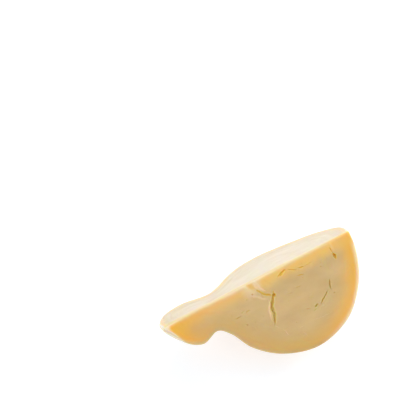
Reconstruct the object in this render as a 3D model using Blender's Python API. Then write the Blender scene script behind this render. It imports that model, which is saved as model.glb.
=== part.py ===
"""A lengthwise quarter of a pear-shaped stretched-curd cheese, lying on its rind.

Two plane cuts meet at a straight inner edge. Behind them the rind swells from a
knobbed head through a narrow neck to a round belly. The belly rests on a small
flat spot, with both cut faces turned up and the head held clear of the table.
Lengths are in millimetres until MM turns them into metres.
"""

import math

import bmesh
import bpy
import numpy as np
from mathutils import Matrix

MM = 0.001

# How the wedge lies
HEAD_DROP = 10.0  # degrees, the head end hangs lower than the base end
ROLL = 3.6  # degrees, the front cut is turned a little more to the sky than the back one
REST_DEPTH = 1.1  # how much of the belly is flattened where it rests

# Outlines of the two cut faces: how far along the inner edge, and how far out from it.
# The head leans to the back of the cheese, so the back outline is fuller there.
# The last number is where the row of faces through that place starts on the inner edge.
OUTLINE = (
    # place             front cut      back cut       inner edge
    ("head end", (0.0, 0.0), (0.0, 0.0), 0.0),
    ("head crown", (6.0, 10.5), (-0.5, 22.0), 8.0),
    ("head shoulder", (12.0, 21.0), (5.5, 34.5), 17.0),
    ("head widest", (24.5, 28.0), (24.5, 41.0), 28.0),
    ("neck", (39.0, 24.0), (47.5, 30.0), 42.0),
    ("neck flare", (47.5, 31.5), (56.5, 37.0), 53.0),
    ("shoulder", (58.0, 49.5), (69.5, 53.5), 67.0),
    ("upper belly", (78.0, 66.0), (82.0, 64.5), 84.0),
    ("belly", (108.0, 74.5), (101.0, 68.5), 104.0),
    ("lower belly", (139.0, 65.5), (133.0, 59.5), 125.0),
    ("base shoulder", (158.0, 45.5), (157.0, 44.0), 143.0),
    ("base rim", (167.5, 24.0), (170.0, 26.0), 158.0),
    ("base end", (170.5, 0.0), (170.5, 0.0), 170.5),
)
LENGTH = OUTLINE[-1][3]

# Radii of the rounded edges
INNER_EDGE_RADIUS = 2.4
INNER_EDGE_REACH = 5.0  # that radius holds this near the inner edge, and is gone at twice as far
RIM_RADIUS = 1.2
HEAD_TIP_RADIUS = 4.5  # the worn corner where the cuts and the rind meet at the head
HEAD_TIP_REACH = 20.0  # how far from the head end that wear fades out

# Rows and columns of faces
STEPS_PER_SPAN = 5
STEPS_TO_MEASURE = 40  # the finer outline that distances are measured from
FACE_COLUMNS = 7
RIND_COLUMNS = 17
WIDEST_EDGE_SHARE = 0.3  # most of a cut's width that the column along its inner edge takes
WIDEST_RIM_SHARE = 0.2  # most of a cut's width that the column along its rim takes
EDGE_LINE = 0.35  # a line this far across each of those columns carries the rounding
RIM_TURN = 0.67  # width of a rim's column on the rind, as a share of its width on a cut

# Cracks of the front cut: path (along, out), width at the surface and depth
CRACKS = {
    "crack_broken_edge": (((77.2, 1.6), (79.6, 4.2), (81.2, 8.6)), 4.4, 1.2),
    "crack_inner": (((80.6, 7.6), (82.5, 10.5), (85.8, 14.8), (91.4, 18.8)), 1.7, 2.0),
    "crack_main": (((93.0, 17.0), (90.0, 20.8), (86.8, 26.0), (85.6, 32.0), (84.8, 36.6), (82.4, 40.0)), 1.9, 2.6),
    "crack_edge_slot": (((101.4, 6.8), (105.2, 5.9), (109.8, 4.6)), 1.8, 1.4),
    "crack_arch": (((110.8, 5.2), (113.9, 6.9), (118.0, 8.4)), 1.0, 0.8),
    "crack_arch_middle": (((119.5, 8.0), (121.5, 8.7), (124.0, 9.1)), 1.4, 1.2),
    "crack_arch_end": (((124.9, 9.2), (128.6, 9.0), (132.4, 9.1)), 0.8, 0.6),
    "crack_below_arch": (((115.6, 13.9), (118.4, 14.2), (121.6, 14.7)), 1.2, 0.9),
    "crack_core_upper": (((110.4, 21.9), (113.2, 22.0), (116.2, 22.2)), 0.9, 0.6),
    "crack_core_left": (((102.4, 23.5), (104.5, 24.0), (106.8, 24.6)), 1.0, 0.7),
    "crack_core_lower": (((116.2, 34.9), (118.6, 34.9), (121.0, 34.8)), 0.8, 0.5),
    "crack_base_line": (((149.0, 4.8), (149.9, 7.4), (150.6, 10.4)), 1.0, 0.9),
    "crack_base_hole": (((150.3, 9.8), (151.1, 13.2), (150.6, 16.4)), 2.3, 2.6),
    "crack_base_upper": (((138.4, 28.8), (137.4, 32.6), (136.0, 37.2)), 1.6, 1.8),
    "crack_base_long": (((133.8, 36.2), (128.8, 39.8), (123.8, 43.9)), 1.3, 1.6),
    "crack_base_short": (((121.8, 42.2), (120.2, 42.9), (118.3, 43.7)), 1.7, 1.6),
    "crack_base_tail": (((118.9, 44.9), (117.5, 45.6), (116.0, 46.4)), 1.1, 0.8),
    "crack_base_last": (((111.4, 41.5), (112.9, 42.2), (114.2, 43.2)), 1.2, 0.8),
    "crack_shoulder_left": (((55.4, 22.1), (58.0, 21.9), (61.0, 21.4)), 1.0, 0.7),
    "crack_shoulder_upper": (((61.9, 19.6), (63.2, 19.2), (64.5, 18.8)), 1.0, 0.6),
    "crack_shoulder_right": (((65.2, 21.2), (67.4, 20.9), (69.5, 20.6)), 1.1, 0.8),
}
CRACK_STEP = 2.4  # distance between a crack's rows of points
CRACK_END_OPENING = 0.15  # width and depth left at a crack's two ends
CRACK_FULLNESS = 0.6  # below 1, a crack keeps its width for longer and then closes quickly

# Pits of the front cut: how far along, how far out, and width
PITS = (
    (92.2, 18.5, 2.3),
    (76.6, 10.2, 1.6),
    (83.3, 15.7, 1.2),
    (70.4, 11.9, 1.1),
    (53.8, 17.8, 1.0),
    (62.3, 30.4, 1.5),
    (69.2, 31.5, 1.0),
    (77.1, 30.1, 1.0),
    (99.2, 47.8, 1.1),
    (101.0, 28.8, 1.1),
    (119.8, 17.1, 1.0),
    (136.7, 15.7, 1.2),
    (138.0, 12.9, 1.0),
    (137.7, 40.2, 1.5),
)

PIT_DEPTH = 0.8  # of its width
PIT_TIP = 0.12  # radius of a pit's blunt bottom, of its width
PIT_SIDES = 6

CUTTER_ABOVE = 1.0  # how far the tools that cut cracks and pits stand out of the face
REST_BLOCK = (200.0, 200.0, 30.0)  # length, width and depth of the tool that flattens the belly

COLOURS = {"paste": "#D3B183", "rind": "#E3B25C"}
ROUGHNESS = {"paste": 0.55, "rind": 0.35}


def linear(hex_colour):
    """sRGB hex to the linear numbers that a shader takes."""
    values = [int(hex_colour[i : i + 2], 16) / 255 for i in (1, 3, 5)]
    return [v / 12.92 if v <= 0.04045 else ((v + 0.055) / 1.055) ** 2.4 for v in values] + [1.0]


def material(name):
    made = bpy.data.materials.new(name)
    made.use_nodes = True
    shader = made.node_tree.nodes["Principled BSDF"]
    shader.inputs["Base Color"].default_value = linear(COLOURS[name])
    shader.inputs["Roughness"].default_value = ROUGHNESS[name]
    return made


def smooth_curve(knots, steps):
    """A centripetal Catmull-Rom curve that crosses the inner edge squarely at both ends."""
    knots = np.array(knots, float)
    mirror = np.array([1.0, -1.0])
    points = np.vstack([knots[1] * mirror, knots, knots[-2] * mirror])
    curve = []
    for before, start, end, after in zip(points, points[1:], points[2:], points[3:]):
        first, second, third = (
            math.sqrt(np.linalg.norm(b - a)) for a, b in ((before, start), (start, end), (end, after))
        )
        leave = end - start + ((start - before) / first - (end - before) / (first + second)) * second
        arrive = end - start + ((after - end) / third - (after - start) / (second + third)) * second
        for x in np.arange(steps) / steps:
            curve.append(
                (2 * x**3 - 3 * x**2 + 1) * start
                + (x**3 - 2 * x**2 + x) * leave
                + (3 * x**2 - 2 * x**3) * end
                + (x**3 - x**2) * arrive
            )
    return np.array(curve + [knots[-1]])


def outward(curve):
    """Unit normals of a curve in the plane of a cut, pointing out of the cheese."""
    along = np.gradient(curve, axis=0)
    normal = np.stack([-along[:, 1], along[:, 0]], axis=1)
    return normal / np.linalg.norm(normal, axis=1, keepdims=True)


def edged_fractions(columns, first, last):
    """Fractions 0 to 1, evenly spaced but for two close lines at each end that carry the rounded edges."""
    middle = first + (last - first) * np.linspace(0, 1, columns)
    return np.concatenate([[0, first * EDGE_LINE], middle, [1 - (1 - last) * EDGE_LINE, 1]])


def smoothstep(x):
    x = np.clip(x, 0, 1)
    return x * x * (3 - 2 * x)


def edge_radius(points):
    """The radius of the rounded edges near each point (along, to the front cut, to the back cut)."""
    from_inner_edge = np.linalg.norm(points[:, 1:], axis=1)
    at_inner_edge = smoothstep(2 - from_inner_edge / INNER_EDGE_REACH)
    radius = RIM_RADIUS + (INNER_EDGE_RADIUS - RIM_RADIUS) * at_inner_edge
    head = smoothstep(1 - points[:, 0] / HEAD_TIP_REACH)
    return radius + (HEAD_TIP_RADIUS - radius) * head


def rounded(points, to_rind, rind_normal):
    """Pulls points of the sharp-edged wedge in to the rounded edges, towards each rounding's centre."""
    radius = edge_radius(points)
    depth = np.stack([points[:, 2], points[:, 1], to_rind], axis=1)
    reach = np.maximum(radius[:, None] - depth, 0)
    size = np.maximum(np.linalg.norm(reach, axis=1), 1e-9)
    pull = np.maximum(1 - radius / size, 0)[:, None]
    front = np.array([0.0, 0.0, -1.0])
    back = np.array([0.0, -1.0, 0.0])
    inwards = reach[:, :1] * front + reach[:, 1:2] * back + reach[:, 2:] * rind_normal
    return points - pull * inwards


def to_outline(flat, knots):
    """Distance in from a cut's outline to each point of the cut, and the outline's normal there."""
    outline = smooth_curve(knots, STEPS_TO_MEASURE)
    normals = outward(outline)
    nearest = np.linalg.norm(flat[:, None] - outline[None], axis=2).argmin(axis=1)
    distance = np.einsum("ij,ij->i", outline[nearest] - flat, normals[nearest])
    return np.maximum(distance, 0), normals[nearest]


def wedge_rings():
    """Closed rings of points around the wedge, one for each place along it, in the wedge's own axes.

    A point is (along the inner edge, out along the front cut, out along the back cut).
    """
    front = smooth_curve([row[1] for row in OUTLINE], STEPS_PER_SPAN)
    back = smooth_curve([row[2] for row in OUTLINE], STEPS_PER_SPAN)
    knots = np.arange(len(OUTLINE)) * STEPS_PER_SPAN
    inner = np.interp(np.arange(len(front)), knots, [row[3] for row in OUTLINE])
    rings = []
    for i in range(1, len(front) - 1):
        reach = (front[i, 1] + back[i, 1]) / 2
        edge = min(INNER_EDGE_RADIUS / reach, WIDEST_EDGE_SHARE)
        rim = min(RIM_RADIUS / reach, WIDEST_RIM_SHARE)
        out = edged_fractions(FACE_COLUMNS, edge, 1 - rim)
        along = inner[i] + (front[i, 0] - inner[i]) * out
        front_cut = np.stack([along, front[i, 1] * out, 0 * out], axis=1)
        along = inner[i] + (back[i, 0] - inner[i]) * out
        back_cut = np.stack([along, 0 * out, back[i, 1] * out], axis=1)
        turn = edged_fractions(RIND_COLUMNS, rim * RIM_TURN, 1 - rim * RIM_TURN) * math.pi / 2
        share = np.sin(turn) ** 2
        along = front[i, 0] * (1 - share) + back[i, 0] * share
        radius = front[i, 1] * (1 - share) + back[i, 1] * share
        rind = np.stack([along, radius * np.cos(turn), radius * np.sin(turn)], axis=1)
        rings.append((front_cut, rind[1:-1], back_cut[::-1][:-1]))
    columns = [len(part) for part in rings[0]]
    return np.array([np.vstack(ring) for ring in rings]), columns


def rind_normals(rind):
    """Outward normals of the rind, from its neighbours along and around the wedge."""
    ends = [np.zeros_like(rind[:1]) + [along, 0, 0] for along in (0, LENGTH)]
    rind = np.concatenate([ends[0], rind, ends[1]])
    normal = np.cross(np.gradient(rind, axis=1), np.gradient(rind, axis=0))[1:-1]
    normal /= np.linalg.norm(normal, axis=2, keepdims=True)
    middle = normal[len(normal) // 2, normal.shape[1] // 2]
    return normal if middle[1:].sum() > 0 else -normal


def rounded_rings(sharp, columns):
    """The rings with their inner edge, rims and head corner rounded."""
    normals = np.zeros_like(sharp)
    to_rind = np.zeros(sharp.shape[:2])
    first, last = columns[0] - 1, columns[0] + columns[1] + 1
    normals[:, first:last] = rind_normals(sharp[:, first:last])
    for across, keep in ((1, slice(0, first)), (2, slice(last, None))):
        cut = sharp[:, keep].reshape(-1, 3)
        distance, normal = to_outline(cut[:, [0, across]], [row[across] for row in OUTLINE])
        turned = np.zeros_like(cut)
        turned[:, 0] = normal[:, 0]
        turned[:, across] = normal[:, 1]
        to_rind[:, keep] = distance.reshape(len(sharp), -1)
        normals[:, keep] = turned.reshape(len(sharp), -1, 3)
    flat = rounded(sharp.reshape(-1, 3), to_rind.ravel(), normals.reshape(-1, 3))
    return flat.reshape(sharp.shape)


def rounded_ends():
    """The points where the inner edge meets the rind, at the head and at the base."""
    ends = np.array([[0.0, 0, 0], [LENGTH, 0, 0]])
    return rounded(ends, np.zeros(2), np.array([[-1.0, 0, 0], [1.0, 0, 0]]))


def wedge_mesh(paste, rind):
    """The whole wedge as one closed mesh: cut faces in paste, the outside in rind."""
    sharp, columns = wedge_rings()
    rings = rounded_rings(sharp, columns)
    count = rings.shape[1]
    points = np.vstack([rings.reshape(-1, 3), rounded_ends()]) * MM
    head_at, base_at = len(points) - 2, len(points) - 1
    faces, in_rind = [], []
    for column in range(count):
        beside = (column + 1) % count
        is_rind = columns[0] - 1 <= column < columns[0] + columns[1]
        for row in range(len(rings) - 1):
            here, further = row * count, (row + 1) * count
            faces.append((here + column, here + beside, further + beside, further + column))
            in_rind.append(is_rind)
        tail = (len(rings) - 1) * count
        faces.append((head_at, beside, column))
        faces.append((base_at, tail + column, tail + beside))
        in_rind += [is_rind, is_rind]
    mesh = bpy.data.meshes.new("cheese_wedge")
    mesh.from_pydata(points.tolist(), [], faces)
    mesh.materials.append(paste)
    mesh.materials.append(rind)
    mesh.polygons.foreach_set("material_index", [int(flag) for flag in in_rind])
    facing_out(mesh)
    return mesh


def facing_out(mesh):
    solid = bmesh.new()
    solid.from_mesh(mesh)
    bmesh.ops.triangulate(solid, faces=solid.faces)
    bmesh.ops.recalc_face_normals(solid, faces=solid.faces)
    solid.to_mesh(mesh)
    solid.free()


def lying():
    """Rotation from the wedge's own axes to the table: inner edge tilted, cut faces turned up."""
    drop, half, roll = math.radians(HEAD_DROP), math.radians(45.0), math.radians(ROLL)
    inner_edge = np.array([math.cos(drop), 0.0, math.sin(drop)])
    down = np.array([math.sin(drop), 0.0, -math.cos(drop)])
    near = np.array([0.0, -1.0, 0.0])
    front = down * math.cos(half + roll) + near * math.sin(half + roll)
    back = down * math.cos(half - roll) - near * math.sin(half - roll)
    return Matrix(np.column_stack([inner_edge, front, back]).tolist())


def resting_place(mesh):
    """Where the wedge's own origin goes, so that its box stands centred on z = 0 after flattening."""
    turn = np.array(lying())
    points = np.empty(len(mesh.vertices) * 3)
    mesh.vertices.foreach_get("co", points)
    placed = points.reshape(-1, 3) @ turn.T
    low, high = placed.min(axis=0), placed.max(axis=0)
    place = -(low + high) / 2
    place[2] = -low[2] - REST_DEPTH * MM
    return Matrix.Translation(place.tolist()) @ lying().to_4x4()


def cutter(name, mesh, collection):
    tool = bpy.data.objects.new(name, mesh)
    tool.hide_render = True
    tool.display_type = "WIRE"
    collection.objects.link(tool)
    return tool


def path_points(path, step):
    """Points along a path with rounded corners, about a step apart."""
    path = np.array(path, float)
    ends = np.vstack([2 * path[0] - path[1], path, 2 * path[-1] - path[-2]])
    points = []
    for before, start, end, after in zip(ends, ends[1:], ends[2:], ends[3:]):
        count = max(1, round(np.linalg.norm(end - start) / step))
        for x in np.arange(count) / count:
            bend = (2 * before - 5 * start + 4 * end - after) * x**2
            twist = (3 * start - before - 3 * end + after) * x**3
            points.append(0.5 * (2 * start + (end - before) * x + bend + twist))
    return np.array(points + [path[-1]])


def crack_mesh(name, path, width, depth, paste):
    """A V-shaped blade along a path on the front cut, narrowing to a point at both ends."""
    line = path_points(path, CRACK_STEP)
    along = np.gradient(line, axis=0)
    side = np.stack([-along[:, 1], along[:, 0]], axis=1)
    side /= np.linalg.norm(side, axis=1, keepdims=True)
    swell = np.sin(np.pi * np.linspace(0, 1, len(line))) ** CRACK_FULLNESS
    opening = CRACK_END_OPENING + (1 - CRACK_END_OPENING) * swell
    blade = bmesh.new()
    rows = []
    for place, across, open_by in zip(line, side, opening):
        half = width * open_by / 2 * (1 + CUTTER_ABOVE / depth)
        left, right = place + across * half, place - across * half
        corners = [(*left, -CUTTER_ABOVE), (*right, -CUTTER_ABOVE), (*place, depth * open_by)]
        rows.append([blade.verts.new([value * MM for value in corner]) for corner in corners])
    blade.faces.new(rows[0])
    blade.faces.new(rows[-1])
    for row, following in zip(rows, rows[1:]):
        for i in range(3):
            j = (i + 1) % 3
            blade.faces.new((row[i], row[j], following[j], following[i]))
    mesh = bpy.data.meshes.new(name)
    blade.to_mesh(mesh)
    blade.free()
    mesh.materials.append(paste)
    facing_out(mesh)
    return mesh


def pit_mesh(name, along, out, width, paste):
    """A small blunt cone pressed into the front cut."""
    depth = width * PIT_DEPTH
    cone = bmesh.new()
    bmesh.ops.create_cone(
        cone,
        cap_ends=True,
        segments=PIT_SIDES,
        radius1=width / 2 * (1 + CUTTER_ABOVE / depth) * MM,
        radius2=PIT_TIP * width * MM,
        depth=(depth + CUTTER_ABOVE) * MM,
    )
    middle = (depth - CUTTER_ABOVE) / 2
    bmesh.ops.translate(cone, verts=cone.verts, vec=[along * MM, out * MM, middle * MM])
    mesh = bpy.data.meshes.new(name)
    cone.to_mesh(mesh)
    cone.free()
    mesh.materials.append(paste)
    facing_out(mesh)
    return mesh


def make_cracks(placement, paste):
    cracks = []
    for name, (path, width, depth) in CRACKS.items():
        crack = cutter(name, crack_mesh(name, path, width, depth, paste), bpy.context.scene.collection)
        crack.matrix_world = placement
        cracks.append(crack)
    return cracks


def make_pits(placement, paste):
    pits = bpy.data.collections.new("pits")
    bpy.context.scene.collection.children.link(pits)
    for number, (along, out, width) in enumerate(PITS):
        name = f"pit_{number}"
        cutter(name, pit_mesh(name, along, out, width, paste), pits).matrix_world = placement
    return pits


def make_rest_block(rind):
    """The table below z = 0, which flattens the belly where it rests."""
    block = bmesh.new()
    length, width, height = (side * MM for side in REST_BLOCK)
    bmesh.ops.create_cube(block, size=1.0, matrix=Matrix.Diagonal((length, width, height, 1.0)))
    bmesh.ops.translate(block, verts=block.verts, vec=(0.0, 0.0, -height / 2))
    mesh = bpy.data.meshes.new("rest_block")
    block.to_mesh(mesh)
    block.free()
    mesh.materials.append(rind)
    return cutter("rest_block", mesh, bpy.context.scene.collection)


def subtract(wedge, name, tool=None, tools=None):
    cut = wedge.modifiers.new(name, "BOOLEAN")
    cut.operation = "DIFFERENCE"
    cut.solver = "EXACT"
    if tools is None:
        cut.object = tool
    else:
        cut.operand_type = "COLLECTION"
        cut.collection = tools


def make_wedge():
    paste, rind = material("paste"), material("rind")
    mesh = wedge_mesh(paste, rind)
    mesh.shade_smooth()
    mesh.set_sharp_from_angle(angle=math.radians(40))
    wedge = bpy.data.objects.new("cheese_wedge", mesh)
    bpy.context.scene.collection.objects.link(wedge)
    placement = resting_place(mesh)
    wedge.matrix_world = placement
    for crack in make_cracks(placement, paste):
        subtract(wedge, crack.name, tool=crack)
    subtract(wedge, "pits", tools=make_pits(placement, paste))
    subtract(wedge, "resting flat", tool=make_rest_block(rind))
    return wedge


def clear_scene():
    for old in list(bpy.data.objects):
        bpy.data.objects.remove(old, do_unlink=True)


clear_scene()
make_wedge()
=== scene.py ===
"""A lengthwise quarter of a pear-shaped stretched-curd cheese, lying on its rind.

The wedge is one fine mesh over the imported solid: two knife-cut faces with cracks,
pits and flow lines in the curd, and a smooth oiled rind behind them. Lengths are
in millimetres until MM turns them into metres.
"""

import math

import bmesh
import bpy
import numpy as np
from mathutils import Matrix, Vector
from mathutils.kdtree import KDTree


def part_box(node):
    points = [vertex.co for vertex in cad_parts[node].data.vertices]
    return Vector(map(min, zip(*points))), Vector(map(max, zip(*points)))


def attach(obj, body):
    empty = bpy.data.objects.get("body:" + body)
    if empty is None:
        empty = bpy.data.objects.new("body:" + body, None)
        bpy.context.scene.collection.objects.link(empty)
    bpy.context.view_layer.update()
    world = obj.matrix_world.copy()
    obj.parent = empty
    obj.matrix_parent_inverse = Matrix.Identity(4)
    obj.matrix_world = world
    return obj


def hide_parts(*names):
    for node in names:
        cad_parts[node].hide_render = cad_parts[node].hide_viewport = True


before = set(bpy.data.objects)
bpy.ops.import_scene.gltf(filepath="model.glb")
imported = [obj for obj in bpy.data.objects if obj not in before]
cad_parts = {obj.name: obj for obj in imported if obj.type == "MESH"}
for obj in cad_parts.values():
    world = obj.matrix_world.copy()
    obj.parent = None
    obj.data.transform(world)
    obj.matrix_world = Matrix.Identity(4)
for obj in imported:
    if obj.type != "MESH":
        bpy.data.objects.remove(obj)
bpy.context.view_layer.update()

MM = 0.001
SEED = 7

# How the wedge lies
CORNER = 90.0  # degrees between the two cuts
HEAD_DROP = 10.0  # degrees, the head end hangs lower than the base end
ROLL = 3.6  # degrees, the front cut is turned a little more to the sky than the back one

# Outlines of the two cut faces: how far along the inner edge, and how far out from it.
# The last number is where the row of faces through that place starts on the inner edge.
OUTLINE = (
    # place             front cut      back cut       inner edge
    ("head end", (0.0, 0.0), (0.0, 0.0), 0.0),
    ("head crown", (6.0, 10.5), (-0.5, 22.0), 8.0),
    ("head shoulder", (12.0, 21.0), (5.5, 34.5), 17.0),
    ("head widest", (24.5, 28.0), (24.5, 41.0), 28.0),
    ("neck", (39.0, 24.0), (47.5, 30.0), 42.0),
    ("neck flare", (47.5, 31.5), (56.5, 37.0), 53.0),
    ("shoulder", (58.0, 49.5), (69.5, 53.5), 67.0),
    ("upper belly", (78.0, 66.0), (82.0, 64.5), 84.0),
    ("belly", (108.0, 74.5), (101.0, 68.5), 104.0),
    ("lower belly", (139.0, 65.5), (133.0, 59.5), 125.0),
    ("base shoulder", (158.0, 45.5), (157.0, 44.0), 143.0),
    ("base rim", (167.5, 24.0), (170.0, 26.0), 158.0),
    ("base end", (170.5, 0.0), (170.5, 0.0), 170.5),
)
LENGTH = OUTLINE[-1][3]

# Radii of the rounded edges
INNER_EDGE_RADIUS = 2.4
RIM_RADIUS = 1.2
HEAD_TIP_RADIUS = 4.5  # the worn corner where the cuts and the rind meet at the head
HEAD_TIP_REACH = 20.0  # how far from the head end that wear fades out
INNER_EDGE_REACH = 5.0  # the inner edge's radius holds this far, and is gone at twice that

# Number of faces
STEPS_PER_SPAN = 22
FRONT_COLUMNS = 100
RIND_COLUMNS = 62
BACK_COLUMNS = 64
FIRST_RIND = FRONT_COLUMNS - 1  # column of the front rim
LAST_RIND = FRONT_COLUMNS + RIND_COLUMNS - 2  # column of the back rim
FRONT_CLOSENESS = 0.55  # how much closer the columns lie near both edges, of 1 at most
RIND_CLOSENESS = 0.78
BACK_CLOSENESS = 0.65
OUTLINE_FINENESS = 4  # how much finer the outlines are to which distances are measured
FINE_NEAR_CRACKS = 1.6  # faces this near a crack, a ridge or a pit are divided again
FINE_CUTS = 3

# The longest crack's path, down the middle of the front cut
MAIN_CRACK = (
    (92.4, 16.2),
    (92.0, 18.8),
    (89.6, 21.9),
    (87.2, 25.7),
    (86.0, 30.5),
    (85.4, 35.0),
    (82.0, 41.6),
)

# Cracks of the front cut: path (along, out), width at the surface and depth
CRACKS = (
    (((74.6, 0.2), (77.6, 3.0), (81.0, 8.4)), 8.4, 0.6),
    (((80.6, 7.6), (82.5, 10.5), (85.8, 14.8), (91.4, 18.8)), 3.0, 1.3),
    (MAIN_CRACK, 3.6, 2.6),
    (((101.4, 6.8), (105.2, 5.9), (109.8, 4.6)), 3.2, 1.3),
    (((110.8, 5.2), (113.9, 6.9), (118.0, 8.4)), 1.0, 0.8),
    (((119.5, 8.0), (121.5, 8.7), (124.0, 9.1)), 1.4, 1.2),
    (((124.9, 9.2), (128.6, 9.0), (132.4, 9.1)), 0.8, 0.6),
    (((115.6, 13.9), (118.4, 14.2), (121.6, 14.7)), 1.2, 0.9),
    (((110.4, 21.9), (113.2, 22.0), (116.2, 22.2)), 0.9, 0.6),
    (((102.4, 23.5), (104.5, 24.0), (106.8, 24.6)), 1.0, 0.7),
    (((116.2, 34.9), (118.6, 34.9), (121.0, 34.8)), 0.8, 0.5),
    (((149.0, 4.8), (149.9, 7.4), (150.6, 10.4)), 1.0, 0.9),
    (((150.5, 10.6), (151.1, 13.2), (150.7, 15.8)), 3.2, 2.4),
    (((138.4, 28.8), (137.4, 32.6), (136.0, 37.2)), 1.6, 2.1),
    (((133.8, 36.2), (128.8, 39.8), (123.8, 43.9)), 1.4, 2.0),
    (((121.8, 42.2), (120.2, 42.9), (118.3, 43.7)), 2.1, 2.0),
    (((118.9, 44.9), (117.5, 45.6), (116.0, 46.4)), 1.1, 0.8),
    (((111.4, 41.5), (112.9, 42.2), (114.2, 43.2)), 1.2, 0.8),
    (((55.4, 22.1), (58.0, 21.9), (61.0, 21.4)), 1.0, 0.7),
    (((61.9, 19.6), (63.2, 19.2), (64.5, 18.8)), 1.0, 0.6),
    (((65.2, 21.2), (67.4, 20.9), (69.5, 20.6)), 1.1, 0.8),
)

# Pits of the front cut: how far along, how far out, and width
PITS = (
    (151.0, 13.4, 3.8),
    (92.2, 18.9, 4.0),
    (76.6, 10.2, 1.6),
    (83.3, 15.7, 1.2),
    (70.4, 11.9, 1.1),
    (53.8, 17.8, 1.0),
    (62.3, 30.4, 1.5),
    (69.2, 31.5, 1.0),
    (77.1, 30.1, 1.0),
    (99.2, 47.8, 1.1),
    (101.0, 28.8, 1.1),
    (119.8, 17.1, 1.0),
    (136.7, 15.7, 1.2),
    (138.0, 12.9, 1.0),
    (137.7, 40.2, 1.5),
)

# Low ridges that the knife dragged up: path, width and height
RIDGES = (
    (((73.8, 9.6), (78.6, 13.2), (83.2, 17.4), (87.0, 19.8)), 5.0, 0.22),
    (((87.2, 19.4), (85.9, 23.0), (83.5, 28.4), (82.4, 33.0), (81.6, 37.6)), 3.0, 0.30),
    (((82.4, 1.4), (84.2, 7.6), (88.0, 13.4)), 3.2, 0.32),
    (((150.6, 0.8), (151.5, 4.5), (152.5, 8.8)), 4.2, 0.15),
    (((81.1, 40.5), (83.1, 42.8), (84.9, 45.0)), 1.1, 0.20),
    (((87.3, 48.2), (88.0, 50.8), (89.2, 54.5)), 1.2, 0.28),
    (((99.4, 53.2), (101.8, 52.7), (104.0, 52.6)), 1.4, 0.18),
    (((100.3, 55.9), (101.6, 59.1), (103.0, 63.2)), 1.1, 0.20),
    (((111.2, 52.4), (117.3, 53.3), (125.4, 53.9), (130.5, 52.9)), 1.2, 0.20),
    (((121.6, 45.4), (124.6, 45.6), (127.0, 43.2)), 1.2, 0.16),
)

CRACK_SHAPE = 0.8  # below 1, steep sides and a sharp bottom
RIDGE_SHAPE = 1.2
PIT_DEPTH = 0.8  # of its width
LINE_STEP = 1.5  # distance between the points of a crack's or ridge's line
ROUGH_LINE_STEP = 3.0  # the same, where only what lies near the line is looked for
LINE_END = 0.02  # share of its length at each end where a line no longer narrows
LINE_END_WIDTH = 0.15  # share of its width that is left there
LINE_FULLNESS = 0.45  # below 1, a line keeps its width for longer and then closes quickly

# Unevenness, as waves of a length and a height
LINE_WAVER = ((9.0, 0.20), (3.7, 0.08), (1.9, 0.03))
LINE_WIDTH_WAVER = ((5.0, 0.14), (2.3, 0.06))  # heights as a share of the width
KNIFE_WAVES_ALONG = ((83.0, 0.16), (41.0, 0.10), (19.0, 0.05))
KNIFE_WAVES_OUT = ((57.0, 0.12), (29.0, 0.07))
KNIFE_SLANT = 0.3  # how far in the waves' fronts lean, for each millimetre along
RIND_LUMPS_ALONG = ((67.0, 0.22), (31.0, 0.12), (17.0, 0.05))
RIND_LUMPS_ROUND = ((53.0, 0.22), (27.0, 0.12), (15.0, 0.05))

# Flow lines of the curd: how far apart and how high, how they drift and where they show
FLOW_LINES = ((11.0, 0.10), (6.3, 0.08), (3.9, 0.05))
FLOW_DRIFT = ((61.0, 2.2), (37.0, 1.3))
FLOW_SLANT = 0.6  # how much the drift changes outwards, as a share of its change along
FLOW_PATCHES = ((47.0, 0.5), (23.0, 0.4))  # about a share of 0.5
FLOW_DEPTH = 8.0  # under the rind, where they reach their full height

# How far from an edge the surface becomes fully uneven
CUT_FROM_RIM = 2.0
CUT_FROM_INNER_EDGE = 4.0
RIND_FROM_RIM = 8.0

# Folds gathered at the neck
NECK = 43.0  # how far along the neck is thinnest
NECK_FOLDS_REACH = 12.0  # how far from there the folds fade out
NECK_FOLDS = ((23.0, 0.30), (11.0, 0.22), (6.1, 0.12))  # lengths in degrees round the neck
NECK_FOLDS_TWIST = 0.25  # degrees round for each millimetre along

# Patterns in the colours
WAVER_SIZE = 12.0  # patches in which the colours' borders waver
NOISE_LOW, NOISE_HIGH = 0.3, 0.7  # nearly all values of a noise lie between these
STREAK_LOW, STREAK_HIGH = 0.4, 0.7  # values of a noise between which a streak grows
STREAKS_NONE_AT, STREAKS_FULL_AT = 26.0, 6.0  # depths under the rind
SIDES_APART = 5.0  # keeps the streaks of the two cuts from being the same

# Roughness of the surfaces
MOIST_CUT, DRY_CUT, SMEARED_CUT = 0.30, 0.36, 0.55
OILED_RIND, DULL_RIND = 0.26, 0.42

# Heights of the surfaces' fine relief
DRAG_MARK_HEIGHT, GRAIN_HEIGHT = 0.25, 0.06
DIMPLE_HEIGHT, PORE_HEIGHT = 0.30, 0.04

LIGHT_REACH = 5.0  # how far red light goes in the cheese, and green and blue less

# Light and floor
ROOM_LIGHT = 0.675  # the white room's brightness
ROOM_WHITE = "#FFFFFF"
LAMP_AIM = (0.0, 0.0, 30.0)
# Soft boxes: watts, side, distance, degrees round from straight in front, degrees up
LAMPS = {
    "soft box above": (5.5, 1300.0, 1700.0, 155.0, 58.0),
    "soft box right": (11.0, 700.0, 1500.0, 105.0, 22.0),
    "soft box left": (7.0, 700.0, 1500.0, -105.0, 22.0),
}
FLOOR_SHADE = "#BCBCBC"  # half of the light that falls on opal acrylic goes through it
FLOOR_GLOW = 0.66
GLOW_WHITE = "#EEF6FF"  # cool, against the warm light that the cheese throws on the table
FLOOR_GAP = 0.05  # the floor lies this far under the flat spot, so that the two never coincide
FLOOR_SIDE = 6000.0

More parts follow.
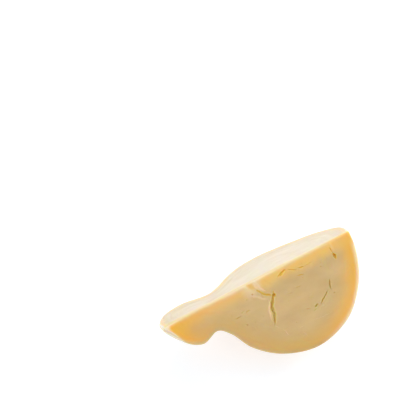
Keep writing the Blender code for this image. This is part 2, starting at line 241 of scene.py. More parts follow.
# The photograph's view, in the wedge's frame
CAMERA_ELEVATION = 53.8  # degrees above the table
CAMERA_TURN = -25.98  # degrees round from straight in front, towards the head end
CAMERA_AIM = (12.4, 138.75, 0.0)  # the place on the table in the middle of the picture
CAMERA_DISTANCE = 1008.5
LENS = 99.0
SENSOR = 36.0


def linear(hex_colour):
    """sRGB hex to the linear numbers that a shader takes."""
    values = [int(hex_colour[i : i + 2], 16) / 255 for i in (1, 3, 5)]
    return [v / 12.92 if v <= 0.04045 else ((v + 0.055) / 1.055) ** 2.4 for v in values] + [1.0]


# ---- the wedge's sharp form, as in the solid ----


def smooth_curve(knots, steps):
    """A centripetal Catmull-Rom curve that crosses the inner edge squarely at both ends."""
    knots = np.array(knots, float)
    mirror = np.array([1.0, -1.0])
    points = np.vstack([knots[1] * mirror, knots, knots[-2] * mirror])
    curve = []
    for before, start, end, after in zip(points, points[1:], points[2:], points[3:]):
        spans = (start - before, end - start, after - end)
        first, middle, last = (math.sqrt(np.linalg.norm(span)) for span in spans)
        bend_in = (start - before) / first - (end - before) / (first + middle)
        bend_out = (after - end) / last - (after - start) / (middle + last)
        leave = end - start + bend_in * middle
        arrive = end - start + bend_out * middle
        for x in np.arange(steps) / steps:
            curve.append(
                (2 * x**3 - 3 * x**2 + 1) * start
                + (x**3 - 2 * x**2 + x) * leave
                + (3 * x**2 - 2 * x**3) * end
                + (x**3 - x**2) * arrive
            )
    return np.array(curve + [knots[-1]])


def outward(curve):
    """Unit normals of a curve in the plane of a cut, pointing out of the cheese."""
    along = np.gradient(curve, axis=0)
    normal = np.stack([-along[:, 1], along[:, 0]], axis=1)
    return normal / np.linalg.norm(normal, axis=1, keepdims=True)


def smoothstep(x):
    """A share that rises gently from 0 to 1."""
    x = np.clip(x, 0, 1)
    return x * x * (3 - 2 * x)


def close_ended(count, closeness):
    """Fractions 0 to 1 that lie closer together near both ends."""
    x = np.linspace(0, 1, count)
    return x - closeness * np.sin(2 * math.pi * x) / (2 * math.pi)


def wedge_rings():
    """Rings of points round the sharp wedge: along, out on the front cut, out on the back cut."""
    front = smooth_curve([row[1] for row in OUTLINE], STEPS_PER_SPAN)
    back = smooth_curve([row[2] for row in OUTLINE], STEPS_PER_SPAN)
    knots = np.arange(len(OUTLINE)) * STEPS_PER_SPAN
    inner = np.interp(np.arange(len(front)), knots, [row[3] for row in OUTLINE])
    share_out = close_ended(FRONT_COLUMNS, FRONT_CLOSENESS)
    share_in = close_ended(BACK_COLUMNS, BACK_CLOSENESS)[::-1]
    turn = close_ended(RIND_COLUMNS, RIND_CLOSENESS) * math.pi / 2
    share_back = np.sin(turn) ** 2
    rings = []
    for i in range(1, len(front) - 1):
        along = inner[i] + (front[i, 0] - inner[i]) * share_out
        front_cut = np.stack([along, front[i, 1] * share_out, 0 * share_out], axis=1)
        along = inner[i] + (back[i, 0] - inner[i]) * share_in
        back_cut = np.stack([along, 0 * share_in, back[i, 1] * share_in], axis=1)
        along = front[i, 0] * (1 - share_back) + back[i, 0] * share_back
        radius = front[i, 1] * (1 - share_back) + back[i, 1] * share_back
        rind = np.stack([along, radius * np.cos(turn), radius * np.sin(turn)], axis=1)
        rings.append(np.vstack([front_cut, rind[1:-1], back_cut[:-1]]))
    return np.array(rings)


def rind_normals(rind):
    """Outward normals of the rind, from its neighbours along and around the wedge."""
    ends = [np.zeros_like(rind[:1]) + [along, 0, 0] for along in (0, LENGTH)]
    rind = np.concatenate([ends[0], rind, ends[1]])
    normal = np.cross(np.gradient(rind, axis=1), np.gradient(rind, axis=0))[1:-1]
    normal /= np.linalg.norm(normal, axis=2, keepdims=True)
    middle = normal[len(normal) // 2, normal.shape[1] // 2]
    return normal if middle[1:].sum() > 0 else -normal


def to_outline(flat, knots):
    """Distance in from a cut's outline to each point of the cut, and the outline's normal there."""
    outline = smooth_curve(knots, STEPS_PER_SPAN * OUTLINE_FINENESS)
    normals = outward(outline)
    tree = KDTree(len(outline))
    for i, (along, out) in enumerate(outline):
        tree.insert((along, out, 0.0), i)
    tree.balance()
    nearest = [tree.find((along, out, 0.0))[1] for along, out in flat]
    distance = np.einsum("ij,ij->i", outline[nearest] - flat, normals[nearest])
    return np.maximum(distance, 0), normals[nearest]


def edge_radius(points):
    """The radius of the rounded edges near each point."""
    from_inner_edge = np.linalg.norm(points[:, 1:], axis=1)
    near = smoothstep(2 - from_inner_edge / INNER_EDGE_REACH)
    radius = RIM_RADIUS + (INNER_EDGE_RADIUS - RIM_RADIUS) * near
    head = smoothstep(1 - points[:, 0] / HEAD_TIP_REACH)
    return radius + (HEAD_TIP_RADIUS - radius) * head


def rounded(points, to_rind, rind_normal):
    """Pulls points of the sharp wedge in to the rounded edges, towards each rounding's centre."""
    radius = edge_radius(points)
    depth = np.stack([points[:, 2], points[:, 1], to_rind], axis=1)
    reach = np.maximum(radius[:, None] - depth, 0)
    size = np.maximum(np.linalg.norm(reach, axis=1), 1e-9)
    pull = np.maximum(1 - radius / size, 0)[:, None]
    front = np.array([0.0, 0.0, -1.0])
    back = np.array([0.0, -1.0, 0.0])
    inwards = reach[:, :1] * front + reach[:, 1:2] * back + reach[:, 2:] * rind_normal
    return points - pull * inwards


def rind_depths(sharp):
    """How deep under the rind each point lies, and the rind's normal nearest to it."""
    depth = np.zeros(sharp.shape[:2])
    normals = np.zeros_like(sharp)
    normals[:, FIRST_RIND : LAST_RIND + 1] = rind_normals(sharp[:, FIRST_RIND : LAST_RIND + 1])
    cuts = ((1, slice(0, FIRST_RIND), 1), (2, slice(LAST_RIND + 1, None), 2))
    for column, keep, across in cuts:
        cut = sharp[:, keep].reshape(-1, 3)
        distance, normal = to_outline(cut[:, [0, across]], [row[column] for row in OUTLINE])
        turned = np.zeros_like(cut)
        turned[:, 0] = normal[:, 0]
        turned[:, across] = normal[:, 1]
        depth[:, keep] = distance.reshape(len(sharp), -1)
        normals[:, keep] = turned.reshape(len(sharp), -1, 3)
    return depth, normals


# ---- the surface of the cuts and the rind ----


def wobble(x, waves, draw):
    """A smooth uneven line: a few waves, each a length and a height, with drawn phases."""
    phases = draw.uniform(0, 2 * math.pi, len(waves))
    return sum(h * np.sin(2 * math.pi * x / w + p) for (w, h), p in zip(waves, phases))


def path_points(path, step):
    """Points along a path with rounded corners, about a step apart."""
    path = np.array(path, float)
    ends = np.vstack([2 * path[0] - path[1], path, 2 * path[-1] - path[-2]])
    points = []
    for before, start, end, after in zip(ends, ends[1:], ends[2:], ends[3:]):
        count = max(1, round(np.linalg.norm(end - start) / step))
        for x in np.arange(count) / count:
            bend = (2 * before - 5 * start + 4 * end - after) * x**2
            twist = (3 * start - before - 3 * end + after) * x**3
            points.append(0.5 * (2 * start + (end - before) * x + bend + twist))
    return np.array(points + [path[-1]])


def beside_path(flat, line):
    """How far along the line the place nearest to each point is, and how far left of it that is."""
    start, step = line[:-1], np.diff(line, axis=0)
    length = np.linalg.norm(step, axis=1)
    reached = np.concatenate([[0], np.cumsum(length)[:-1]])
    offset = flat[:, None] - start[None]
    share = np.clip((offset * step).sum(axis=2) / length**2, 0, 1)
    gap = offset - share[..., None] * step
    nearest = np.linalg.norm(gap, axis=2).argmin(axis=1)
    rows = np.arange(len(flat))
    gap, ahead = gap[rows, nearest], step[nearest]
    side = np.sign(ahead[:, 0] * gap[:, 1] - ahead[:, 1] * gap[:, 0])
    along = reached[nearest] + share[rows, nearest] * length[nearest]
    return along, np.linalg.norm(gap, axis=1) * side


def line_relief(flat, row, draw, shape):
    """How deep a crack or how high a ridge is at each point. Its line wavers and its ends fade."""
    path, width, size = row
    line = path_points(path, LINE_STEP)
    total = np.linalg.norm(np.diff(line, axis=0), axis=1).sum()
    along, off = beside_path(flat, line)
    off = off + wobble(along, LINE_WAVER, draw)
    share = np.clip(along / total, LINE_END, 1 - LINE_END)
    opening = np.sin(np.pi * share) ** LINE_FULLNESS
    half = width / 2 * (LINE_END_WIDTH + (1 - LINE_END_WIDTH) * opening)
    half = half * (1 + wobble(along, LINE_WIDTH_WAVER, draw))
    return size * opening * (1 - smoothstep(np.abs(off) / half)) ** shape


def pit_relief(flat, pit):
    """How deep a round pit is at each point."""
    along, out, width = pit
    reach = np.linalg.norm(flat - np.array([along, out]), axis=1) / (width / 2)
    return PIT_DEPTH * width * (1 - smoothstep(reach))


def flow_lines(flat, depth, draw):
    """Faint ridges beside the rind, where sheets of curd were folded together."""
    along, out = flat.T
    ridges = 0
    for spacing, height in FLOW_LINES:
        drift = wobble(along + FLOW_SLANT * out, FLOW_DRIFT, draw)
        patch = smoothstep(0.5 + wobble(along - out, FLOW_PATCHES, draw))
        ridges = ridges + height * patch * np.sin(2 * math.pi * (depth + drift) / spacing)
    return ridges * smoothstep(depth / FLOW_DEPTH)


def knife_waves(flat, draw):
    """The slow rise and fall that a long knife leaves in a soft cheese."""
    along, out = flat.T
    waves = wobble(along, KNIFE_WAVES_ALONG, draw)
    return waves + wobble(along * KNIFE_SLANT + out, KNIFE_WAVES_OUT, draw)


def rind_lumps(points, draw):
    """The hand-shaped rind's soft unevenness, with shallow folds gathered at the neck."""
    along, front, back = points.T
    lumps = wobble(along, RIND_LUMPS_ALONG, draw)
    lumps = lumps + wobble(front - back, RIND_LUMPS_ROUND, draw)
    around = np.degrees(np.arctan2(back, front))
    folds = wobble(around + NECK_FOLDS_TWIST * along, NECK_FOLDS, draw)
    return lumps + folds * np.exp(-(((along - NECK) / NECK_FOLDS_REACH) ** 2))


# ---- the wedge as a mesh ----

# What each point of the mesh carries
LAYERS = ("along", "out", "rind_depth", "from_rim", "side", "rounded_in")


def rim_distances(sharp):
    """How far round the rind each point is from the nearer rim. It is 0 on the cuts."""
    rind = sharp[:, FIRST_RIND : LAST_RIND + 1]
    steps = np.linalg.norm(np.diff(rind, axis=1), axis=2)
    from_front = np.cumsum(np.pad(steps, ((0, 0), (1, 0))), axis=1)
    from_back = from_front[:, -1:] - from_front
    distance = np.zeros(sharp.shape[:2])
    distance[:, FIRST_RIND : LAST_RIND + 1] = np.minimum(from_front, from_back)
    return distance


def wedge_points():
    """The rounded wedge's points, ring by ring and then its two ends, with what they carry."""
    sharp = wedge_rings()
    depth, normals = rind_depths(sharp)
    side = np.zeros(sharp.shape[:2])
    side[:, : FIRST_RIND + 1] = 1
    side[:, LAST_RIND:] = -1
    out = np.where(side < 0, -sharp[..., 2], sharp[..., 1])
    layers = np.stack([sharp[..., 0], out, depth, rim_distances(sharp), side], axis=2)
    ends = np.array([[0.0, 0.0, 0.0], [LENGTH, 0.0, 0.0]])
    end_normals = np.array([[-1.0, 0.0, 0.0], [1.0, 0.0, 0.0]])
    layers = np.vstack([layers.reshape(-1, 5), [[0, 0, 0, 0, 1], [LENGTH, 0, 0, 0, 1]]])
    points = np.vstack([sharp.reshape(-1, 3), ends])
    normals = np.vstack([normals.reshape(-1, 3), end_normals])
    soft = rounded(points, np.append(depth, [0, 0]), normals)
    rounded_in = np.linalg.norm(soft - points, axis=1)
    return soft, np.column_stack([layers, rounded_in]), sharp.shape[:2]


def wedge_faces(rows, columns):
    """Quads between the rings, closed by triangles at the head end and the base end."""
    grid = np.arange(rows * columns).reshape(rows, columns)
    beside = np.roll(grid, -1, axis=1)
    quads = np.stack([grid[:-1], beside[:-1], beside[1:], grid[1:]], axis=2).reshape(-1, 4)
    head = [(rows * columns, b, a) for a, b in zip(grid[0], beside[0])]
    base = [(rows * columns + 1, a, b) for a, b in zip(grid[-1], beside[-1])]
    return quads.tolist() + head + base


def close_to_damage(layers):
    """Which points of the front cut lie near a crack, a ridge or a pit."""
    flat = layers[:, :2]
    close = np.zeros(len(flat), bool)
    for path, width, _ in CRACKS + RIDGES:
        line, reach = path_points(path, ROUGH_LINE_STEP), FINE_NEAR_CRACKS + width / 2
        low, high = line.min(axis=0) - reach, line.max(axis=0) + reach
        boxed = np.flatnonzero(((flat > low) & (flat < high)).all(axis=1))
        close[boxed] |= np.abs(beside_path(flat[boxed], line)[1]) < reach
    for along, out, width in PITS:
        reach = FINE_NEAR_CRACKS + width / 2
        close |= np.linalg.norm(flat - np.array([along, out]), axis=1) < reach
    return close & (layers[:, LAYERS.index("side")] > 0)


def plain_wedge():
    """A mesh of the rounded wedge, finer near the cracks, whose points carry the layers."""
    points, layers, (rows, columns) = wedge_points()
    mesh = bpy.data.meshes.new("wedge")
    mesh.from_pydata(points.tolist(), [], wedge_faces(rows, columns))
    for name, values in zip(LAYERS, layers.T):
        mesh.attributes.new(name, "FLOAT", "POINT").data.foreach_set("value", values)
    close = close_to_damage(layers)
    solid = bmesh.new()
    solid.from_mesh(mesh)
    edges = [edge for edge in solid.edges if all(close[vertex.index] for vertex in edge.verts)]
    bmesh.ops.subdivide_edges(solid, edges=edges, cuts=FINE_CUTS, use_grid_fill=True)
    bmesh.ops.triangulate(solid, faces=[face for face in solid.faces if len(face.verts) > 4])
    bmesh.ops.recalc_face_normals(solid, faces=solid.faces)
    solid.to_mesh(mesh)
    solid.free()
    return mesh


def read_mesh(mesh):
    """The mesh's points, its smooth normals and its layers."""
    points = np.empty(len(mesh.vertices) * 3, np.float32)
    normals = np.empty(len(mesh.vertices) * 3, np.float32)
    mesh.vertices.foreach_get("co", points)
    mesh.vertex_normals.foreach_get("vector", normals)
    layers = np.empty((len(LAYERS), len(mesh.vertices)), np.float32)
    for name, values in zip(LAYERS, layers):
        mesh.attributes[name].data.foreach_get("value", values)
    read = (points.reshape(-1, 3), normals.reshape(-1, 3), layers.T)
    return [values.astype(float) for values in read]


def surface_relief(points, layers):
    """How far each point is pressed in, how deep in a crack or pit, and how high on a ridge."""
    flat, depth, from_rim, side = layers[:, :2], layers[:, 2], layers[:, 3], layers[:, 4]
    near = np.flatnonzero(close_to_damage(layers))
    cracks, ridges = np.zeros(len(flat)), np.zeros(len(flat))
    draw = np.random.default_rng(SEED)
    for crack in CRACKS:
        cracks[near] = np.maximum(cracks[near], line_relief(flat[near], crack, draw, CRACK_SHAPE))
    for ridge in RIDGES:
        ridges[near] = np.maximum(ridges[near], line_relief(flat[near], ridge, draw, RIDGE_SHAPE))
    for pit in PITS:
        cracks[near] = np.maximum(cracks[near], pit_relief(flat[near], pit))
    front = knife_waves(flat, draw) + flow_lines(flat, depth, draw)
    back = knife_waves(flat, draw) + flow_lines(flat, depth, draw)
    out = np.abs(flat[:, 1])
    from_edges = smoothstep(depth / CUT_FROM_RIM) * smoothstep(out / CUT_FROM_INNER_EDGE)
    on_cut = from_edges * np.where(side > 0, front, back)
    on_rind = smoothstep(from_rim / RIND_FROM_RIM) * rind_lumps(points, draw)
    return on_cut + on_rind + cracks - ridges, cracks, ridges


def lying():
    """Turns the wedge's own axes to the table: the head end dropped, both cut faces up."""
    drop, half, roll = math.radians(HEAD_DROP), math.radians(CORNER / 2), math.radians(ROLL)
    inner_edge = np.array([math.cos(drop), 0.0, math.sin(drop)])
    down = np.array([math.sin(drop), 0.0, -math.cos(drop)])
    near = np.array([0.0, -1.0, 0.0])
    front = down * math.cos(half + roll) + near * math.sin(half + roll)
    back = down * math.cos(half - roll) - near * math.sin(half - roll)
    return np.column_stack([inner_edge, front, back])


def laid_on_table(points, plain):
    """Points turned and moved to where the solid lies, and flattened where the belly rests."""
    turned = plain @ lying().T
    low, high = (np.array(corner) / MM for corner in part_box("cheese_wedge"))
    move = (low + high - turned.min(axis=0) - turned.max(axis=0)) / 2
    move[2] = high[2] - turned[:, 2].max()
    laid = points @ lying().T + move
    laid[:, 2] = np.maximum(laid[:, 2], 0)
    return laid * MM


def colour_by_side(mesh, side):
    """Gives the faces behind the rims the rind's material. The others keep the curd's."""
    corners = np.empty(len(mesh.loops), np.int32)
    starts = np.empty(len(mesh.polygons), np.int32)
    mesh.loops.foreach_get("vertex_index", corners)
    mesh.polygons.foreach_get("loop_start", starts)
    behind = np.maximum.reduceat((np.abs(side) < 0.5)[corners], starts)
    mesh.polygons.foreach_set("material_index", behind.astype(np.int32))


def make_wedge():
    mesh = plain_wedge()
    plain, normals, layers = read_mesh(mesh)
    relief, cracks, ridges = surface_relief(plain, layers)
    points = laid_on_table(plain - normals * relief[:, None], plain)
    mesh.vertices.foreach_set("co", points.ravel())
    for name, values in (("crack_depth", cracks), ("ridge_height", ridges)):
        mesh.attributes.new(name, "FLOAT", "POINT").data.foreach_set("value", values)
    mesh.materials.append(knife_cut_curd())
    mesh.materials.append(oiled_rind())
    colour_by_side(mesh, layers[:, LAYERS.index("side")])
    mesh.shade_smooth()
    mesh.update()
    wedge = bpy.data.objects.new("wedge", mesh)
    bpy.context.scene.collection.objects.link(wedge)
    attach(wedge, "root")
    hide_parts("cheese_wedge")


# ---- materials ----


def add(tree, kind, inputs=None, stops=(), **settings):
    """Adds a shader node with its settings and a ramp's stops, and sets or links its inputs."""
    made = tree.nodes.new("ShaderNode" + kind)
    for name, value in settings.items():
        setattr(made, name, value)
    for socket, value in (inputs or {}).items():
        if isinstance(value, bpy.types.NodeSocket):
            tree.links.new(value, made.inputs[socket])
        else:
            made.inputs[socket].default_value = linear(value) if isinstance(value, str) else value
    if stops:
        elements = made.color_ramp.elements
        for element, (place, colour) in zip((elements[0], elements[-1]), (stops[0], stops[-1])):
            element.position, element.color = place, linear(colour)
        for place, colour in stops[1:-1]:
            elements.new(place).color = linear(colour)
    return made


def bare_material(name):
    """A material without nodes."""
    made = bpy.data.materials.new(name)
    made.use_nodes = True
    made.node_tree.nodes.clear()
    return made


def finish_material(tree, inputs):
    """Ends a material in its Principled shader, with its inputs."""
    shader = add(tree, "BsdfPrincipled", inputs)
    add(tree, "OutputMaterial", {"Surface": shader.outputs["BSDF"]})


def patches(tree, size, detail=2.0, stretch=1.0):
    """Noise in patches of a size in millimetres, drawn out along the wedge."""
    place = add(tree, "TexCoord").outputs["Object"]
    scale = (1 / (size * stretch * MM), 1 / (size * MM), 1 / (size * MM))
    vector = add(tree, "Mapping", {"Vector": place, "Scale": scale}).outputs["Vector"]
    return add(tree, "TexNoise", {"Vector": vector, "Scale": 1.0, "Detail": detail}).outputs["Fac"]


def carried(tree, layer, none_at, full_at, waver=0.0):
    """How far a coat covers each place, by the value that a layer of the mesh has there.

    The share is 0 at one value and 1 at the other, and either may be the larger. The coat's
    border wavers by so many millimetres, in patches of WAVER_SIZE.
    """
    value = add(tree, "Attribute", attribute_name=layer).outputs["Fac"]
    if waver:
        drift = {
            "Value": patches(tree, WAVER_SIZE),
            "From Min": NOISE_LOW,
            "From Max": NOISE_HIGH,
            "To Min": -waver,
            "To Max": waver,
        }
        drift = add(tree, "MapRange", drift).outputs["Result"]
        value = add(tree, "Math", {0: value, 1: drift}, operation="ADD").outputs["Value"]
    limits = {"Value": value, "From Min": none_at, "From Max": full_at}
    return add(tree, "MapRange", limits, interpolation_type="SMOOTHSTEP").outputs["Result"]


def streaks(tree, across, along):
    """Lines of so many millimetres across and along, as stretched curd lies under the rind."""
    place = {}
    for axis, layer in zip("XYZ", ("rind_depth", "along", "side")):
        place[axis] = add(tree, "Attribute", attribute_name=layer).outputs["Fac"]
    vector = add(tree, "CombineXYZ", place).outputs["Vector"]
    scale = (1 / across, 1 / along, SIDES_APART)
    vector = add(tree, "Mapping", {"Vector": vector, "Scale": scale}).outputs["Vector"]
    curd = {"Vector": vector, "Scale": 1.0, "Detail": 3.0, "Distortion": 0.9}
    noise = add(tree, "TexNoise", curd).outputs["Fac"]
    limits = {"Value": noise, "From Min": STREAK_LOW, "From Max": STREAK_HIGH}
    lines = add(tree, "MapRange", limits).outputs["Result"]
    shallow = carried(tree, "rind_depth", STREAKS_NONE_AT, STREAKS_FULL_AT)
    return add(tree, "Math", {0: lines, 1: shallow}, operation="MULTIPLY").outputs["Value"]


def by_place(tree, *stops):
    """Colours that change from the head to the base. A stop is a place along and a hex colour."""
    along = add(tree, "Attribute", attribute_name="along").outputs["Fac"]
    share = add(tree, "Math", {0: along, 1: LENGTH}, operation="DIVIDE").outputs["Value"]
    stops = [(place / LENGTH, colour) for place, colour in stops]
    return add(tree, "ValToRGB", {"Fac": share}, stops=stops).outputs["Color"]


def coated(tree, colour, *coats):
    """A colour with coats laid over it in turn. Each is how far it covers, and its colour."""
    for share, coat in coats:
        colour = add(tree, "Mix", {0: share, 6: colour, 7: coat}, data_type="RGBA").outputs[2]
    return colour


def front_cut_colours(tree):
    """The front cut: golden under the rind and near the thin inner edge, partly the curd's own
    colour and partly painted light, with painted glow, painted shade and painted highlights as
    marked below.
    """
    clouds = patches(tree, size=14, detail=5.0, stretch=2.2)
    stops = ((NOISE_LOW, "#DCBE86"), (NOISE_HIGH, "#E8CB95"))
    paste = add(tree, "ValToRGB", {"Fac": clouds}, stops=stops)
    # Golden band under the rind: the curd's own colour, painted brighter at the head and base ends
    # as painted light shining through the rind, and duller along the neck and belly as painted
    # shade
    near_rind_colour_and_light = by_place(
        tree,
        (0, "#FFC438"),
        (14, "#FBC452"),
        (26, "#EEBE6A"),
        (42, "#E0BE7C"),
        (70, "#E3BD72"),
        (100, "#E2BC68"),
        (125, "#F0C26A"),
        (145, "#FCC864"),
        (170, "#FFC452"),
    )
    # Colour of the front cut's rim: pale at the base end as a painted highlight where the rounding
    # catches the side light, darker towards the head and along the bottom as painted shade
    rim = by_place(
        tree,
        (0, "#E4CE9A"),
        (12, "#D9C187"),
        (22, "#D9C696"),
        (36, "#D2BC88"),
        (110, "#D2B57A"),
        (140, "#FBE2BE"),
        (170, "#FBE4C2"),
    )
    # Golden band under the thin inner edge: partly the curd's own colour, partly painted glow of
    # light shining through the edge, strongest at the head end
    near_edge_colour_and_glow = by_place(
        tree,
        (0, "#FFC630"),
        (24, "#F8C96A"),
        (45, "#F4CC80"),
        (68, "#F5CE82"),
        (75, "#F8E0B4"),
        (83, "#F8E0B2"),
        (88, "#F8D480"),
        (110, "#FBD27C"),
        (145, "#FDD378"),
        (156, "#FFD07C"),
        (170, "#FFC95C"),
    )
    torn_near_edge = by_place(
        tree,
        (60, "#F3D059"),
        (72, "#F3D178"),
        (78, "#F3D176"),
        (82, "#F3D97C"),
        (86, "#F1D060"),
        (92, "#EBC030"),
        (100, "#F3D059"),
    )
    near = carried(tree, "out", none_at=32, full_at=8)
    torn = coated(tree, "#E7CE7C", (near, torn_near_edge))
    # Pale cream over the rounded inner edge, partly painted highlight where the rounding catches
    # the light from behind
    edge = by_place(
        tree,
        (0, "#F6E8CC"),
        (20, "#E5D4AE"),
        (48, "#E6DABF"),
        (66, "#E8DCC0"),
        (84, "#F2E6CA"),
        (100, "#EADAB6"),
        (140, "#E0D3AE"),
        (154, "#E8CD98"),
        (170, "#FAD084"),
    )
    return coated(
        tree,
        paste.outputs["Color"],
        (carried(tree, "along", none_at=44, full_at=14, waver=2.0), "#E2BA7C"),
        # the golden band under the rind, with painted light at the ends and painted shade along the
        # bottom
        (carried(tree, "rind_depth", none_at=22, full_at=1, waver=1.5), near_rind_colour_and_light),
        # the rim, with its painted highlight and painted shade
        (carried(tree, "rind_depth", none_at=4.6, full_at=0.3, waver=0.4), rim),
        # the band under the inner edge, partly painted glow
        (carried(tree, "out", none_at=16, full_at=3.5, waver=1.5), near_edge_colour_and_glow),
        # the rounded inner edge, partly painted highlight
        (carried(tree, "out", none_at=4.5, full_at=-1, waver=0.6), edge),
        # Painted highlight: the head tip paler, where it catches the light from the left
        (carried(tree, "along", none_at=7.5, full_at=3.2, waver=0.8), "#F3E6CB"),
        # Painted highlight: the rounded corners in the pale edge colour, where they catch the light
        (carried(tree, "rounded_in", none_at=0.4, full_at=1.5), edge),
        # Painted highlight: the ridges' tops paler, where the raised lips catch the light
        (carried(tree, "ridge_height", none_at=0.02, full_at=0.36), "#F6DAB0"),
        (carried(tree, "crack_depth", none_at=0.08, full_at=0.7), torn),
    )


def back_cut_colours(tree):
    """The back cut: moist, and paler and less golden than the front cut, partly as painted sheen
    for the bright light that grazes it. It is darker towards the head end, with a straw line under
    the rind.
    """
    # Painted sheen: the back cut's pale, whitish paste stands in partly for the bright light that
    # grazes it
    paste = by_place(tree, (0, "#C4AC7A"), (20, "#CAB58E"), (60, "#D4C2A3"), (170, "#D7C6AA"))
    return coated(
        tree,
        paste,
        (patches(tree, size=12, detail=4.0, stretch=1.8), "#E6DBC7"),
        (streaks(tree, across=4.5, along=22), "#D3BF9A"),
        (carried(tree, "rind_depth", none_at=9, full_at=0.5, waver=1.5), "#E9CD96"),
        (carried(tree, "rind_depth", none_at=2.6, full_at=0.3, waver=0.4), "#EAE1D0"),
        (carried(tree, "out", none_at=-6, full_at=0), "#E8D7AE"),
    )


def knife_cut_curd():
    """Stretched-curd cheese, cut with a long knife. Light goes deep in and comes out golden."""
    made = bare_material("stretched-curd cheese, knife cut")
    tree = made.node_tree
    to_front = carried(tree, "side", none_at=-1, full_at=1)
    colour = coated(tree, back_cut_colours(tree), (to_front, front_cut_colours(tree)))
    bare = add(tree, "MapRange", {"Value": to_front, "To Min": MOIST_CUT, "To Max": DRY_CUT})
    smears = {
        "Value": patches(tree, size=7, detail=3.0, stretch=3.0),
        "To Min": bare.outputs["Result"],
        "To Max": SMEARED_CUT,
    }
    dragged = {
        "Height": patches(tree, size=3.2, detail=3.0, stretch=4.0),
        "Distance": DRAG_MARK_HEIGHT * MM,
    }
    drag_marks = add(tree, "Bump", dragged).outputs["Normal"]
    # The curd's grain is finer than this, and is drawn as coarse as it needs to show
    grains = {
        "Height": patches(tree, size=1.1),
        "Distance": GRAIN_HEIGHT * MM,
        "Normal": drag_marks,
    }
    finish_material(
        tree,
        {
            "Base Color": colour,
            "Roughness": add(tree, "MapRange", smears).outputs["Result"],
            "IOR": 1.45,
            "Subsurface Weight": 1.0,
            "Subsurface Radius": (1.0, 0.55, 0.2),
            "Subsurface Scale": LIGHT_REACH * MM,
            "Normal": add(tree, "Bump", grains).outputs["Normal"],
        },
    )
    return made


def oiled_rind():
    """Brine-cured rind, rubbed with oil: smooth, waxy and glossy, straw to golden."""
    made = bare_material("cheese rind, brine cured and oiled")
    tree = made.node_tree
    stops = ((NOISE_LOW, "#E3A648"), (0.5, "#EBB660"), (NOISE_HIGH, "#F0C67E"))
    # Colour of the rind's rim: pale at the base end as a painted highlight, greyish and darker at
    # the head and along the bottom as painted shade
    rim = by_place(
        tree,
        (0, "#C9BB99"),
        (30, "#C6B285"),
        (110, "#C4AA7A"),
        (140, "#F0D4A6"),
        (170, "#FBE2BA"),
    )
    clouds = patches(tree, size=26, detail=3.0)
    colour = coated(
        tree,
        add(tree, "ValToRGB", {"Fac": clouds}, stops=stops).outputs["Color"],
        # the rind's rim, with its painted highlight and painted shade
        (carried(tree, "from_rim", none_at=7, full_at=0.5, waver=0.8), rim),
        # Painted highlight: the rind at the head end pale cream, where it catches the light from
        # the left
        (carried(tree, "along", none_at=26, full_at=4, waver=2.0), "#D9C79E"),
        # Painted highlight: the rind's rounded corners paler, where they catch the light
        (carried(tree, "rounded_in", none_at=0.3, full_at=1.3), "#DCD0B2"),
    )
    rubbed = patches(tree, size=9, detail=3.0)
    shine = add(tree, "MapRange", {"Value": rubbed, "To Min": OILED_RIND, "To Max": DULL_RIND})
    dimpled = {"Height": patches(tree, size=6, detail=3.0), "Distance": DIMPLE_HEIGHT * MM}
    dimples = add(tree, "Bump", dimpled).outputs["Normal"]
    # The rind's pores are finer than this, and are drawn as coarse as they need to show
    pores = {"Height": patches(tree, size=0.9), "Distance": PORE_HEIGHT * MM, "Normal": dimples}
    finish_material(
        tree,
        {
            "Base Color": colour,
            "Roughness": shine.outputs["Result"],
            "IOR": 1.46,
            "Subsurface Weight": 0.6,
            "Subsurface Radius": (1.0, 0.45, 0.15),
            "Subsurface Scale": LIGHT_REACH * MM,
            "Coat Weight": 0.3,
            "Coat Roughness": 0.2,
            "Normal": add(tree, "Bump", pores).outputs["Normal"],
        },
    )
    return made


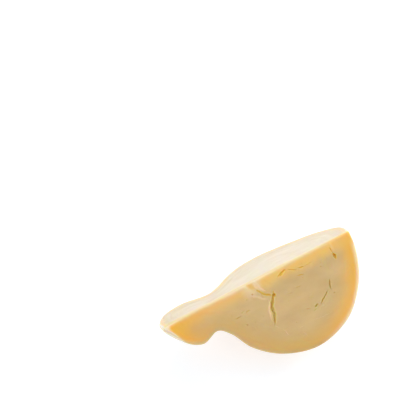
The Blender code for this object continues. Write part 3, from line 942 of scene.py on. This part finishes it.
def opal_table():
    """Opal acrylic, sanded matt and lit from below: white, with pale and soft shadows."""
    made = bare_material("opal acrylic, sanded, lit from below")
    finish_material(
        made.node_tree,
        {
            "Base Color": FLOOR_SHADE,
            "Roughness": 0.8,
            "Specular IOR Level": 0.2,
            "Emission Color": GLOW_WHITE,
            "Emission Strength": FLOOR_GLOW,
        },
    )
    return made


# ---- floor, light and camera ----


def make_floor():
    mesh = bpy.data.meshes.new("floor")
    half = FLOOR_SIDE / 2 * MM
    corners = [(-half, -half, 0), (half, -half, 0), (half, half, 0), (-half, half, 0)]
    mesh.from_pydata(corners, [], [(0, 1, 2, 3)])
    mesh.materials.append(opal_table())
    floor = bpy.data.objects.new("floor", mesh)
    floor.location.z = -FLOOR_GAP * MM
    bpy.context.scene.collection.objects.link(floor)


def aimed(obj, aim, distance, turn, elevation):
    """Puts a lamp or the camera at a distance from its aim, so many degrees round and up."""
    turn, elevation = math.radians(turn), math.radians(elevation)
    level = math.cos(elevation)
    away = Vector((math.sin(turn) * level, -math.cos(turn) * level, math.sin(elevation)))
    place = Matrix.Translation(Vector(aim) * MM + away * distance * MM)
    obj.matrix_world = place @ away.to_track_quat("Z", "Y").to_matrix().to_4x4()
    bpy.context.scene.collection.objects.link(obj)


def make_lamp(name, watts, side, distance, turn, elevation):
    lamp = bpy.data.lights.new(name, "AREA")
    lamp.energy, lamp.size = watts, side * MM
    aimed(bpy.data.objects.new(name, lamp), LAMP_AIM, distance, turn, elevation)


def make_light():
    """A soft box behind and above and one at each end, in a white room that fills the shadows."""
    for name, row in LAMPS.items():
        make_lamp(name, *row)
    world = bpy.data.worlds.new("white room")
    world.use_nodes = True
    world.node_tree.nodes["Background"].inputs["Strength"].default_value = ROOM_LIGHT
    world.node_tree.nodes["Background"].inputs["Color"].default_value = linear(ROOM_WHITE)
    bpy.context.scene.world = world
    bpy.context.scene.view_settings.view_transform = "Standard"


def make_camera():
    camera = bpy.data.cameras.new("camera")
    camera.lens, camera.sensor_width = LENS, SENSOR
    shot = bpy.data.objects.new("camera", camera)
    aimed(shot, CAMERA_AIM, CAMERA_DISTANCE, CAMERA_TURN, CAMERA_ELEVATION)
    bpy.context.scene.camera = shot


make_wedge()
make_floor()
make_light()
make_camera()
